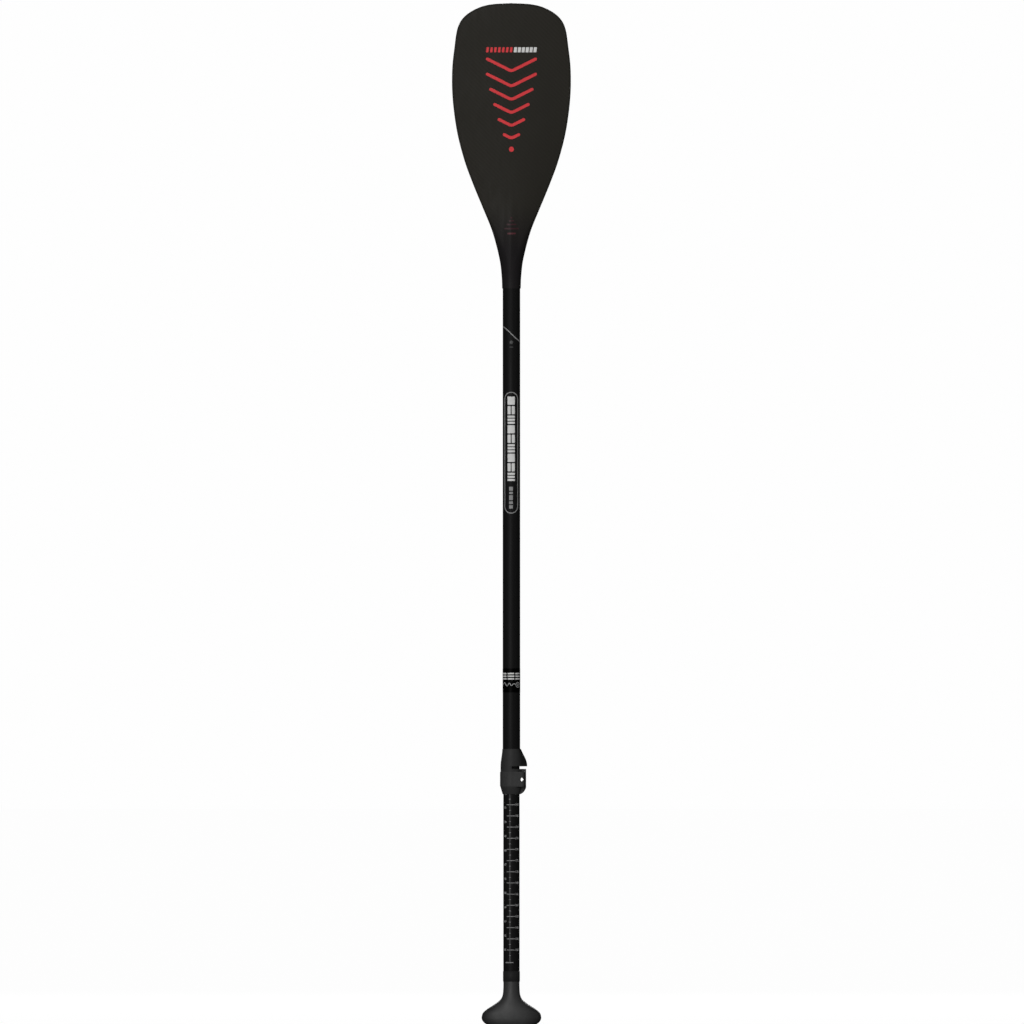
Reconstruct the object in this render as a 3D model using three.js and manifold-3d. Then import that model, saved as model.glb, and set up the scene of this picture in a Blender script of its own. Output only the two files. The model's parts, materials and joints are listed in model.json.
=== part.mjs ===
// Adjustable single blade paddle for standing on a board: a blade on a main shaft, a lever clamp,
// and an inner extension tube that carries a palm grip.
// Millimetres. +Z runs along the shaft from the grip's flat end (z = 0) to the blade's tip.
// The shaft's axis is x = y = 0. The blade's front face and the lever face -Y, the clamp's ears +X.
import * as THREE from 'three';
import { mergeVertices } from 'three/addons/utils/BufferGeometryUtils.js';
import Module from 'manifold-3d';

const wasm = await Module();
wasm.setup();

// ---- driving dimensions ----
const GAP = 0.3;                  // between pieces that touch
const ROUND = 48;                 // sides of every tube and of what fits in or on one

const SHAFT_R = 15.6;
const SHAFT_BORE_R = 14.85;
const SHAFT_BOTTOM = 468;
const SHAFT_TOP = 1372;           // the end glued inside the blade's neck
const GLUE = 0.15;                // radial glue line round the main tube
const FLOAT_PLUG_LOW = 1225;
const FLOAT_PLUG_HIGH = 1265;
const LABEL_LOW = 599;
const LABEL_HIGH = 642;
const LABEL_STANDOFF = 0.05;
const LABEL_THICKNESS = 0.15;

const EXTENSION_R = 14.6;
const EXTENSION_BORE_R = 13.7;
const EXTENSION_BOTTOM = 88;
const EXTENSION_TOP = 740;
const GROOVE_DEPTH = 0.6;         // anti-twist groove down the back of the extension
const GROOVE_HALF_ANGLE = 6.5;    // degrees
const KEY_PLAY_ANGLE = 1.5;       // degrees between the groove's sides and the rib or stem in it
const STEM_PLAY = 0.2;            // radial, round what is pushed into the extension's ends
const STEM_KEY_ANGLE = GROOVE_HALF_ANGLE + 2 * KEY_PLAY_ANGLE;
const STEM_LENGTH = 25;
const SEAL_R = 0.9;

const NECK_BOTTOM = 1322;
const NECK_R = 16.65;
const BLADE_TIP = 1832;
const CANT_ANGLE = 10;            // degrees, the tip leans towards -Y
const CANT_START = 1335;
const CANT_RADIUS = 450;
const SKIN = 1.0;
const RAIL_WIDTH = 3.6;
const RAIL_START = 1450;
const EDGE_HALF_THICKNESS = 2.1;
const SCOOP = 3;                  // how far the blade's edges lie behind its middle
const SCOOP_START = 1430;
const SCOOP_END = 1560;
const NECK_SWELL = 18.2;          // half thickness where the shaft ends inside the neck
const ROOT_HALF_THICKNESS = 6.2;
const ROOT_TOP = 1520;
const ROOT_FADE = 1500;           // where the root starts to thin towards the tip
const TIP_HALF_THICKNESS = 2.8;
const FLATTEN_START = 1345;       // the round neck flattens into the edge between these two heights
const FLATTEN_END = 1485;
const LEAST_SKIN_HALF = 0.6;      // half thickness of the core's pocket where the blade is thinnest
const SKIN_EDGE = 2.5;            // how far in from the outline the two skins meet below the rail

const COLLAR_R = 18.4;
const COLLAR_BOTTOM = 416.7;
const COLLAR_TOP = 498;
const COLLAR_BORE_R = 14.78;
const LIP_BOTTOM_R = 15.8;
const LIP_TOP = 429.2;            // above the tapered lower lip
const LIP_TOP_R = 19.5;           // the lip runs on from the lever's lower edge
const SLIT_LOW = 462;             // the cut that frees the clamping ring
const SLIT_HIGH = 466.6;
const SLIT_START_X = 0.7;
const SPLIT_START_X = 10;
const WING_TIP_R = 5;
const SLEEVE_TOP_R = 16.4;
const EAR_START_X = 6;
const EAR_X = 26.2;
const EAR_FRONT_Y = -6.5;
const EAR_BACK_Y = 8.5;
const SPLIT = 2.4;                // gap between the two ears
const BOLT = { x: 18.6, z: 443.4, r: 2.0, back: 13.0 };
const BOLT_HEAD = { r: 2.7, front: -16.2, back: -15.1, play: 0.1 };
const BOLT_PLAY = 0.15;           // radial, in the barrel and the nut

const WASHER_R = 4.8;
const WASHER_THICKNESS = 0.8;
const SEATING_GAP = 0.1;          // between the ear, the washer and the nut
const NUT_R = 4.0;
const NUT_THICKNESS = 3.2;
const PAD_LEFT_X = 15.7;
const PAD_RIGHT_X = 24.8;
const PAD_GAP = 0.12;             // between the pad and the ear, and the pad and the closed cam

const PIVOT = { x: BOLT.x, y: -14.6 };
const BARREL_R = 3.2;             // the bolt's front end stays inside this radius as the lever turns
const BARREL_PLAY = 0.08;
const LEVER_LOW = 429.9;
const LEVER_HIGH = 457.3;
const LEVER_R = 20.4;
const LEVER_INNER_R = 18.8;
const LEVER_TIP_ANGLE = 172;      // degrees round the collar, 180 is the -X side
const CAM_OPEN_R = 5.2;
const CAM_CLOSED_R = 6.6;
const LEVER_ROOM = 0.4;           // above and below the lever, in the collar
const LEVER_RANGE = 110;          // degrees from closed to open
const LEVER_CHAMFER = { across: 0.5, along: 2 };
const WINDOW_R = 3.4;             // the hole that shows the bolt's head

const GRIP_TOP = 87.7;
const GRIP_WALL = 3.2;
const SPIGOT_TOP = 150;
const CORE_HOLLOW_R = 10.5;
const CORE_FLOOR = 16;
const SLEEVE_LOW = 81.5;
const SLEEVE_HIGH = 100;

const PAST = 30;                  // how far a cutter reaches past what it cuts

// ---- helpers ----
const radians = THREE.MathUtils.degToRad;
const smooth = THREE.MathUtils.smoothstep;
const lerp = THREE.MathUtils.lerp;

// A closed geometry as a solid that can be joined and cut.
function solid(geometry) {
  const bare = geometry.clone();
  bare.deleteAttribute('normal');
  bare.deleteAttribute('uv');
  const merged = mergeVertices(bare, 1e-4);
  const index = Array.from(merged.index.array);
  const triangles = [];
  for (let i = 0; i < index.length; i += 3) {
    const [a, b, c] = index.slice(i, i + 3);
    if (a !== b && b !== c && c !== a) triangles.push(a, b, c);
  }
  return new wasm.Manifold(new wasm.Mesh({
    numProp: 3,
    vertProperties: new Float32Array(merged.attributes.position.array),
    triVerts: new Uint32Array(triangles),
  }));
}

function geometryOf(manifold) {
  const mesh = manifold.getMesh();
  const geometry = new THREE.BufferGeometry();
  geometry.setAttribute('position', new THREE.BufferAttribute(mesh.vertProperties, 3));
  geometry.setIndex(new THREE.BufferAttribute(mesh.triVerts, 1));
  geometry.computeVertexNormals();
  return geometry;
}

// A stack of sections from share 0 to 1. section(share, angle) gives a point, and centre(share) its middle.
function loft(levels, around, section, centre) {
  const geometry = new THREE.CylinderGeometry(1, 1, 1, around, levels, false);
  geometry.rotateX(Math.PI / 2);
  const position = geometry.attributes.position;
  for (let i = 0; i < position.count; i++) {
    const share = THREE.MathUtils.clamp(position.getZ(i) + 0.5, 0, 1);
    const inward = Math.hypot(position.getX(i), position.getY(i)) < 0.5;
    const angle = Math.atan2(position.getY(i), position.getX(i));
    const point = inward ? centre(share) : section(share, angle);
    position.setXYZ(i, point.x, point.y, point.z);
  }
  return geometry;
}

// A body of revolution about Z. The profile is a list of [radius, z] that starts and ends on the axis
// or closes on itself, going up along its outer side.
function turned(profile, sides = ROUND) {
  const points = profile.map(([r, z]) => new THREE.Vector2(r, z));
  return new THREE.LatheGeometry(points, sides).rotateX(Math.PI / 2);
}

function rod(radius, low, high, sides = ROUND) {
  return turned([[0, low], [radius, low], [radius, high], [0, high]], sides);
}

function ring(inner, outer, low, high, sides = ROUND) {
  return turned([[inner, low], [outer, low], [outer, high], [inner, high], [inner, low]], sides);
}

function block(x0, x1, y0, y1, z0, z1) {
  return new THREE.BoxGeometry(x1 - x0, y1 - y0, z1 - z0)
    .translate((x0 + x1) / 2, (y0 + y1) / 2, (z0 + z1) / 2);
}

// A rod along Y through (x, z).
function crossRod(radius, x, z, front, back, sides = 24) {
  return rod(radius, front, back, sides).rotateX(-Math.PI / 2).translate(x, 0, z);
}

// A circle with a notch at the back (+Y), which the anti-twist groove follows.
function keyedCircle(radius, depth, halfAngle) {
  const points = [];
  const half = radians(halfAngle);
  for (let i = 0; i <= ROUND; i++) {
    const angle = Math.PI / 2 + half + (i / ROUND) * (2 * Math.PI - 2 * half);
    points.push(new THREE.Vector2(radius * Math.cos(angle), radius * Math.sin(angle)));
  }
  for (const angle of [Math.PI / 2 - half, Math.PI / 2, Math.PI / 2 + half]) {
    const inner = radius - depth;
    points.push(new THREE.Vector2(inner * Math.cos(angle), inner * Math.sin(angle)));
  }
  return points;
}

function keyedRod(radius, depth, halfAngle, low, high) {
  const shape = new THREE.Shape(keyedCircle(radius, depth, halfAngle));
  return new THREE.ExtrudeGeometry(shape, { depth: high - low, bevelEnabled: false }).translate(0, 0, low);
}

const group = new THREE.Group();

function add(name, shape, colour, roughness, metalness = 0) {
  const geometry = shape instanceof THREE.BufferGeometry ? shape : geometryOf(shape);
  const material = new THREE.MeshStandardMaterial({ color: colour, roughness, metalness });
  const mesh = new THREE.Mesh(geometry, material);
  mesh.name = name;
  group.add(mesh);
}

// ---- blade ----
// Half of the blade's outline, from the neck to the middle of the tip, as x and z.
const outline = new THREE.SplineCurve([
  [NECK_R, NECK_BOTTOM], [17.6, 1345], [21.6, 1376], [33.9, 1423], [51.1, 1466], [68.8, 1509],
  [84.4, 1552], [97.6, 1604], [105.2, 1662], [106.0, 1712], [102.0, 1752], [96.4, 1787],
  [84.5, 1807.5], [62, 1822.4], [36, 1829.8], [9, BLADE_TIP],
].map(([x, z]) => new THREE.Vector2(x, z)));
const BLADE_LEVELS = 24;
const BLADE_AROUND = 20;

// The middle of the blade's thickness: straight in the neck, then bent by the cant.
function middleY(z) {
  const bendLength = CANT_RADIUS * Math.sin(radians(CANT_ANGLE));
  const along = z - CANT_START;
  if (along <= 0) return 0;
  if (along <= bendLength) return -(CANT_RADIUS - Math.sqrt(CANT_RADIUS ** 2 - along ** 2));
  const dropInBend = CANT_RADIUS * (1 - Math.cos(radians(CANT_ANGLE)));
  return -dropInBend - (along - bendLength) * Math.tan(radians(CANT_ANGLE));
}

function scoopY(z) {
  return SCOOP * smooth(z, SCOOP_START, SCOOP_END);
}

function edgeHalfThickness(z) {
  return lerp(NECK_R, EDGE_HALF_THICKNESS, smooth(z, FLATTEN_START, FLATTEN_END));
}

function centreHalfThickness(z) {
  const neck = lerp(NECK_R, NECK_SWELL, smooth(z, NECK_BOTTOM, SHAFT_TOP));
  const root = lerp(neck, ROOT_HALF_THICKNESS, smooth(z, SHAFT_TOP, ROOT_TOP));
  return lerp(root, TIP_HALF_THICKNESS, smooth(z, ROOT_FADE, BLADE_TIP));
}

// Half thickness at a share u of the half width: a rounded edge plus a lens that swells to the middle.
function halfThickness(z, halfWidth, u) {
  const edge = Math.min(edgeHalfThickness(z), halfWidth);
  const inset = Math.min((halfWidth * (1 - Math.abs(u))) / edge, 1);
  const rounded = edge * Math.sqrt(1 - (1 - inset) ** 2);
  return rounded + (centreHalfThickness(z) - edge) * Math.max(0, 1 - u * u);
}

// The blade as a stack of level sections. thin() turns the half thickness into the one wanted.
function bladeLoft(thin, extraWidth = 0) {
  const section = (share, angle) => {
    const at = outline.getPoint(share);
    const halfWidth = at.x + extraWidth;
    const onSide = Math.abs(Math.sin(angle)) < 1e-9;
    const quarter = onSide ? 0 : Math.min(Math.abs(angle), Math.PI - Math.abs(angle));
    const v = quarter / (Math.PI / 2);
    const u = (1 - v * v) * (Math.cos(angle) < 0 ? -1 : 1);
    const half = v < 1e-9 ? 0 : thin(halfThickness(at.y, at.x, u));
    const side = Math.sin(angle) < 0 ? -1 : 1;
    return { x: u * halfWidth, y: middleY(at.y) + scoopY(at.y) * u * u + side * half, z: at.y };
  };
  const centre = (share) => {
    const at = outline.getPoint(share);
    return { x: 0, y: middleY(at.y), z: at.y };
  };
  return loft(BLADE_LEVELS, BLADE_AROUND, section, centre);
}

// The area inside the edge rail, as a plate through the blade's thickness. Below the rail it takes in
// the full width.
function panelCutter(inset) {
  const lowest = RAIL_START - inset + RAIL_WIDTH;
  const beside = 60;
  const leastX = 3;
  const right = [[beside, NECK_BOTTOM - PAST], [beside, lowest]];
  for (let i = 0; i <= BLADE_LEVELS; i++) {
    const at = outline.getPoint(i / BLADE_LEVELS);
    const tangent = outline.getTangent(i / BLADE_LEVELS);
    const x = at.x - inset * tangent.y;
    const z = at.y + inset * tangent.x;
    if (z > lowest && x > leastX) right.push([x, z]);
  }
  const left = right.map(([x, z]) => [-x, z]).reverse();
  const shape = new THREE.Shape([...right, ...left].map(([x, z]) => new THREE.Vector2(x, z)));
  const depth = 240;
  return new THREE.ExtrudeGeometry(shape, { depth, bevelEnabled: false })
    .rotateX(Math.PI / 2).translate(0, depth / 2, 0);
}

function addBlade() {
  const outer = solid(bladeLoft((half) => half));
  const panel = solid(panelCutter(RAIL_WIDTH));
  const coreBottom = SHAFT_TOP + 4;
  const below = (top) => solid(block(-PAST, PAST, -PAST, PAST, NECK_BOTTOM - PAST, top));
  const corePocket = solid(bladeLoft((half) => Math.max(half - SKIN, LEAST_SKIN_HALF), -SKIN_EDGE))
    .subtract(below(coreBottom - GAP));
  const parting = solid(bladeLoft(() => GAP / 2, 6));
  const partingBelow = solid(block(-PAST, PAST, -GAP / 2, GAP / 2, NECK_BOTTOM - PAST, NECK_BOTTOM + 3));
  const socket = solid(rod(SHAFT_R + GLUE, NECK_BOTTOM - PAST, SHAFT_TOP + GAP));
  const shell = outer.intersect(panel).subtract(corePocket).subtract(parting).subtract(partingBelow)
    .subtract(socket);
  const halves = shell.decompose().sort((a, b) => b.volume() - a.volume()).slice(0, 2);
  halves.sort((a, b) => a.boundingBox().min[1] - b.boundingBox().min[1]);
  add('blade_front_skin', halves[0], 0x292824, 0.5);
  add('blade_back_skin', halves[1], 0x292824, 0.5);

  const coreHalf = (half) => Math.max(half - SKIN - GAP, LEAST_SKIN_HALF - GAP);
  const core = solid(bladeLoft(coreHalf, -SKIN_EDGE - GAP))
    .subtract(below(coreBottom)).intersect(solid(panelCutter(RAIL_WIDTH + GAP)));
  add('blade_foam_core', core, 0xc9c3a8, 0.9);

  const rail = outer.subtract(solid(panelCutter(RAIL_WIDTH - GAP)));
  add('blade_edge_rail', rail, 0x1c1c1b, 0.6);
}

// ---- main shaft ----
function addShaft() {
  add('shaft_tube', ring(SHAFT_BORE_R, SHAFT_R, SHAFT_BOTTOM, SHAFT_TOP), 0x131313, 0.4);
  add('shaft_float_plug', rod(SHAFT_BORE_R - GAP, FLOAT_PLUG_LOW, FLOAT_PLUG_HIGH), 0xd8d4c4, 0.9);
  const labelR = SHAFT_R + LABEL_STANDOFF;
  add('shaft_label', ring(labelR, labelR + LABEL_THICKNESS, LABEL_LOW, LABEL_HIGH), 0x0c0c0c, 0.15);
}

// ---- clamp collar ----
// Upper sleeve: a round body whose +X side is drawn out into a wing, which grows towards the slit.
function upperSleeve() {
  const reach = new THREE.SplineCurve([
    [COLLAR_TOP, 16.9], [489, 21], [480, 25.4], [472, 27.9], [SLIT_HIGH, 28.1],
  ].map(([z, x]) => new THREE.Vector2(z, x)));
  const section = (share, normal) => {
    const at = reach.getPoint(1 - share);
    const bodyR = lerp(COLLAR_R, SLEEVE_TOP_R, smooth(at.x, SLIT_HIGH, COLLAR_TOP));
    const wingX = at.y - WING_TIP_R;
    const onWing = Math.cos(normal) > (bodyR - WING_TIP_R) / wingX;
    const radius = onWing ? WING_TIP_R : bodyR;
    const x = radius * Math.cos(normal) + (onWing ? wingX : 0);
    return { x, y: radius * Math.sin(normal), z: at.x };
  };
  return loft(6, ROUND, section, (share) => ({ x: 0, y: 0, z: reach.getPoint(1 - share).x }));
}

function ears() {
  const shape = new THREE.Shape();
  shape.moveTo(EAR_START_X, (COLLAR_BOTTOM + LIP_TOP) / 2);
  shape.lineTo(15.5, COLLAR_BOTTOM);
  shape.quadraticCurveTo(23.5, 419.5, EAR_X, 429);
  shape.lineTo(EAR_X, SLIT_LOW + 1);
  shape.lineTo(EAR_START_X, SLIT_LOW + 1);
  const depth = EAR_BACK_Y - EAR_FRONT_Y;
  return new THREE.ExtrudeGeometry(shape, { depth, bevelEnabled: false, curveSegments: 6 })
    .rotateX(Math.PI / 2).translate(0, EAR_BACK_Y, 0);
}

function addCollar() {
  const lower = turned([
    [0, COLLAR_BOTTOM], [LIP_BOTTOM_R, COLLAR_BOTTOM], [LIP_TOP_R, LIP_TOP - 0.2], [LIP_TOP_R - 0.2, LIP_TOP],
    [COLLAR_R, LIP_TOP], [COLLAR_R, SLIT_HIGH + 2], [0, SLIT_HIGH + 2],
  ]);
  const roomLow = LEVER_LOW - LEVER_ROOM;
  const roomHigh = LEVER_HIGH + LEVER_ROOM;
  const shaftSocket = rod(SHAFT_R + GLUE, SHAFT_BOTTOM - GAP, COLLAR_TOP + PAST);
  const ribAngle = GROOVE_HALF_ANGLE - KEY_PLAY_ANGLE;
  const bore = keyedRod(COLLAR_BORE_R, GROOVE_DEPTH, ribAngle, COLLAR_BOTTOM - PAST, SHAFT_BOTTOM + 2);
  const slit = block(SLIT_START_X, EAR_X + PAST, -PAST, PAST, SLIT_LOW, SLIT_HIGH);
  const split = block(SPLIT_START_X, EAR_X + PAST, -SPLIT / 2, SPLIT / 2, COLLAR_BOTTOM - PAST, SLIT_LOW + 1);
  const knuckleRoom = rod(CAM_CLOSED_R + 0.5, roomLow, roomHigh, 32).translate(PIVOT.x, PIVOT.y, 0);
  const padSeat = block(PAD_LEFT_X - LEVER_ROOM, EAR_X + PAST, -PAST, EAR_FRONT_Y, roomLow, roomHigh);
  const boltHole = crossRod(BOLT.r + GAP, BOLT.x, BOLT.z, -PAST, PAST);
  const washerSeat = crossRod(WASHER_R + GAP, BOLT.x, BOLT.z, EAR_BACK_Y, PAST);
  let collar = solid(upperSleeve()).add(solid(lower)).add(solid(ears()));
  for (const cut of [shaftSocket, bore, slit, split, knuckleRoom, padSeat, boltHole, washerSeat]) {
    collar = collar.subtract(solid(cut));
  }
  add('clamp_collar', collar, 0x2b2b2b, 0.6);
}

// ---- cam lever ----
// Cam radius by direction from the barrel: small on the side that meets the pad when open.
function camRadius(degrees) {
  return lerp(CAM_OPEN_R, CAM_CLOSED_R, smooth(degrees, 10, 85));
}

function leverOutline() {
  const points = [];
  const polar = (radius, degrees, x = 0, y = 0) => points.push(new THREE.Vector2(
    x + radius * Math.cos(radians(degrees)), y + radius * Math.sin(radians(degrees))));
  for (let i = 0; i <= 16; i++) polar(LEVER_R, lerp(LEVER_TIP_ANGLE, 278, i / 16));
  for (let i = 0; i <= 18; i++) {
    const degrees = lerp(-95, 176, i / 18);
    polar(camRadius(degrees), degrees, PIVOT.x, PIVOT.y);
  }
  for (let i = 0; i <= 18; i++) polar(LEVER_INNER_R, lerp(308, LEVER_TIP_ANGLE, i / 18));
  return new THREE.Shape(points);
}

function addLever() {
  const { across, along } = LEVER_CHAMFER;
  const body = new THREE.ExtrudeGeometry(leverOutline(), {
    depth: LEVER_HIGH - LEVER_LOW - 2 * along,
    bevelSegments: 1, bevelThickness: along, bevelSize: across, bevelOffset: -across,
  }).translate(0, 0, LEVER_LOW + along);
  const barrelHole = rod(BARREL_R + BARREL_PLAY, LEVER_LOW - PAST, LEVER_HIGH + PAST, 24)
    .translate(PIVOT.x, PIVOT.y, 0);
  const window = crossRod(WINDOW_R, BOLT.x, BOLT.z, -PAST, PIVOT.y);
  // The bolt's way as the lever turns: from the pad's side round the outside, as far as the range needs.
  const reach = 9;
  const half = BOLT.r + 0.4;
  const last = radians(90 - LEVER_RANGE);
  const way = new THREE.Shape([
    [-half, 0], [-half, reach], [reach, reach], [reach, reach * Math.tan(last) - half / Math.cos(last)],
    [half * Math.sin(last), -half * Math.cos(last)],
  ].map(([x, y]) => new THREE.Vector2(x, y)));
  const boltWay = new THREE.ExtrudeGeometry(way, { depth: 2 * half, bevelEnabled: false })
    .translate(PIVOT.x, PIVOT.y, BOLT.z - half);
  let lever = solid(body);
  for (const cut of [barrelHole, window, boltWay]) lever = lever.subtract(solid(cut));
  add('cam_lever', lever, 0x333333, 0.55);
}

// ---- clamp hardware ----
function addHardware() {
  const barrelRod = rod(BARREL_R, LEVER_LOW + LEVER_ROOM, LEVER_HIGH - LEVER_ROOM, 24)
    .translate(PIVOT.x, PIVOT.y, 0);
  const seatDepth = BOLT_HEAD.back + SEATING_GAP;
  const headSeat = crossRod(BOLT_HEAD.r + BOLT_HEAD.play, BOLT.x, BOLT.z, -PAST, seatDepth);
  const barrel = solid(barrelRod).subtract(solid(crossRod(BOLT.r + BOLT_PLAY, BOLT.x, BOLT.z, -PAST, 0)))
    .subtract(solid(headSeat));
  add('cam_barrel', barrel, 0xc8c8c8, 0.25, 1);
  const head = crossRod(BOLT_HEAD.r, BOLT.x, BOLT.z, BOLT_HEAD.front, BOLT_HEAD.back);
  const shank = crossRod(BOLT.r, BOLT.x, BOLT.z, BOLT_HEAD.front + 0.5, BOLT.back);
  add('clamp_bolt', solid(shank).add(solid(head)), 0xc8c8c8, 0.25, 1);

  const washerFront = EAR_BACK_Y + SEATING_GAP;
  const washerBack = washerFront + WASHER_THICKNESS;
  const washer = solid(crossRod(WASHER_R, BOLT.x, BOLT.z, washerFront, washerBack))
    .subtract(solid(crossRod(BOLT.r + GAP, BOLT.x, BOLT.z, 0, PAST)));
  add('clamp_washer', washer, 0xc8c8c8, 0.3, 1);

  const nutFront = washerBack + SEATING_GAP;
  const nutBack = nutFront + NUT_THICKNESS;
  const nutBody = solid(crossRod(NUT_R, BOLT.x, BOLT.z, nutFront, nutBack, 6));
  const dome = turned([[0, 0], [3.4, 0], [3.1, 1.0], [2.2, 1.9], [1.1, 2.4], [0, 2.5]], 24)
    .rotateX(-Math.PI / 2).translate(BOLT.x, nutBack - SEATING_GAP, BOLT.z);
  const thread = crossRod(BOLT.r + BOLT_PLAY, BOLT.x, BOLT.z, 0, BOLT.back + GAP);
  add('clamp_nut', nutBody.add(solid(dome)).subtract(solid(thread)), 0xc8c8c8, 0.25, 1);

  const padFront = PIVOT.y + CAM_CLOSED_R + PAD_GAP;
  const padInset = LEVER_ROOM + 1;
  const padBlock = block(PAD_LEFT_X, PAD_RIGHT_X, padFront, EAR_FRONT_Y - PAD_GAP,
    LEVER_LOW + padInset, LEVER_HIGH - padInset);
  const pad = solid(padBlock).subtract(solid(crossRod(BOLT.r + GAP, BOLT.x, BOLT.z, -PAST, 0)));
  add('cam_pad', pad, 0x1c1c1c, 0.6);
}

// ---- extension ----
function addExtension() {
  const outer = keyedRod(EXTENSION_R, GROOVE_DEPTH, GROOVE_HALF_ANGLE, EXTENSION_BOTTOM, EXTENSION_TOP);
  const bore = keyedRod(EXTENSION_BORE_R, GROOVE_DEPTH, GROOVE_HALF_ANGLE + KEY_PLAY_ANGLE,
    EXTENSION_BOTTOM - PAST, EXTENSION_TOP + PAST);
  add('extension_tube', solid(outer).subtract(solid(bore)), 0x101010, 0.4);

  const flangeR = SHAFT_BORE_R - 0.12;
  const grooveR = 12.6;
  const grooveLow = EXTENSION_TOP + 3;
  const grooveHigh = grooveLow + 2.4;
  const plugTop = EXTENSION_TOP + 8;
  const plugBottom = EXTENSION_TOP + 0.1;
  const head = turned([
    [0, plugBottom], [flangeR, plugBottom], [flangeR, grooveLow], [grooveR, grooveLow],
    [grooveR, grooveHigh], [flangeR, grooveHigh], [flangeR - 1, plugTop], [0, plugTop],
  ]);
  const stem = keyedRod(EXTENSION_BORE_R - STEM_PLAY, GROOVE_DEPTH, STEM_KEY_ANGLE,
    EXTENSION_TOP - STEM_LENGTH, grooveLow - 2);
  add('extension_end_plug', solid(head).add(solid(stem)), 0x1a1a1a, 0.6);

  const seal = [];
  const steps = 8;
  for (let i = 0; i <= steps; i++) {
    const angle = (i / steps) * 2 * Math.PI - Math.PI / 2;
    const middleR = SHAFT_BORE_R - 0.07 - SEAL_R;
    const middleZ = (grooveLow + grooveHigh) / 2;
    seal.push([middleR + SEAL_R * Math.cos(angle), middleZ + SEAL_R * Math.sin(angle)]);
  }
  add('end_plug_seal', turned(seal, 24), 0x161616, 0.8);
}

// ---- grip ----
// Half width and half depth of the palm grip against height, as [size, z].
const gripWidth = new THREE.SplineCurve([
  [28, 0], [41, 3], [48.6, 7.6], [52.6, 13], [53.2, 18.5], [50.8, 25.5], [43.4, 32.2],
  [33.6, 38.6], [24.6, 44.8], [18.6, 50.6], [15.6, 58], [14.5, 70], [14.5, GRIP_TOP],
].map(([r, z]) => new THREE.Vector2(r, z)));
const gripDepth = new THREE.SplineCurve([
  [11, 0], [15.6, 3], [18, 7.6], [19.3, 13], [19.6, 18.5], [19.4, 25.5], [18.7, 32.2],
  [17.8, 38.6], [16.8, 44.8], [15.9, 50.6], [15.0, 58], [14.5, 70], [14.5, GRIP_TOP],
].map(([r, z]) => new THREE.Vector2(r, z)));

function gripLoft(inset, levels, around) {
  const section = (share, angle) => {
    const wide = gripWidth.getPoint(share);
    const deep = gripDepth.getPoint(share);
    const wall = inset ? lerp(inset, 1, smooth(wide.y, 30, 62)) + (inset - GRIP_WALL) : 0;
    const rise = inset ? (1 - share) * inset : 0;
    return {
      x: (wide.x - wall) * Math.cos(angle),
      y: (deep.x - wall) * Math.sin(angle),
      z: wide.y + rise,
    };
  };
  const centre = (share) => ({ x: 0, y: 0, z: section(share, 0).z });
  return loft(levels, around, section, centre);
}

function addGrip() {
  const outer = solid(gripLoft(0, 15, 24));
  const coreLoft = solid(gripLoft(GRIP_WALL, 10, 24));
  const pocket = solid(gripLoft(GRIP_WALL - GAP, 10, 24));
  const mouth = solid(rod(EXTENSION_BORE_R + 0.1, GRIP_TOP - 4, GRIP_TOP + PAST, 24));
  add('grip_cover', outer.subtract(pocket).subtract(mouth), 0x434343, 0.7);
  const spigot = keyedRod(EXTENSION_BORE_R - STEM_PLAY, GROOVE_DEPTH, STEM_KEY_ANGLE,
    GRIP_TOP - 6, SPIGOT_TOP);
  const hollow = rod(CORE_HOLLOW_R, CORE_FLOOR, SPIGOT_TOP + PAST, 24);
  add('grip_core', coreLoft.add(solid(spigot)).subtract(solid(hollow)), 0x222222, 0.7);
  const sleeveR = EXTENSION_R + 0.1;
  add('grip_joint_sleeve', ring(sleeveR, sleeveR + 0.4, SLEEVE_LOW, SLEEVE_HIGH), 0x1b1b1b, 0.5);
}

addBlade();
addShaft();
addCollar();
addLever();
addHardware();
addExtension();
addGrip();

export default group;
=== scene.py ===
"""Looks of the adjustable single blade paddle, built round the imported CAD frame.

Shapes are worked out in millimetres in the frame's own axes (+Z up the shaft, -Y the blade's front),
and make_object() turns them into metres.
"""

import json
import math

import bmesh
import bpy
import numpy as np
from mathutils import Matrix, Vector


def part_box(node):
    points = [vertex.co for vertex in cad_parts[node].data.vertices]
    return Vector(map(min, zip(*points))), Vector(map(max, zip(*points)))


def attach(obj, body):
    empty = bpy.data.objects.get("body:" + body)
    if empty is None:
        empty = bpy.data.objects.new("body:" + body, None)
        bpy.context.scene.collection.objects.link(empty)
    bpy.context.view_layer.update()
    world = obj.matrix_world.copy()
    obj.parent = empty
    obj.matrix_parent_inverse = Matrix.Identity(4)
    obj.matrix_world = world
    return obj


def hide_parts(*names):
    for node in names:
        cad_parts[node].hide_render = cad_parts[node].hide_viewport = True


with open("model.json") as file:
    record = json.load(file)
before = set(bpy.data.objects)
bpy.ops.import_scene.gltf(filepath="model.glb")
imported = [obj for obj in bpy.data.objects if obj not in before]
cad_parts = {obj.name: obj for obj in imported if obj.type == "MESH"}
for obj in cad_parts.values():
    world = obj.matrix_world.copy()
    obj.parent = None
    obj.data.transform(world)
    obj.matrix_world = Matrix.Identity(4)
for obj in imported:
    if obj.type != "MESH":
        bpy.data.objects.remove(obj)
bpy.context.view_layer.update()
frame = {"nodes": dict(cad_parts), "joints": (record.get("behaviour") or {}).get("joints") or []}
MM = 0.001


def low(node):
    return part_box(node)[0] / MM


def high(node):
    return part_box(node)[1] / MM


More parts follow.
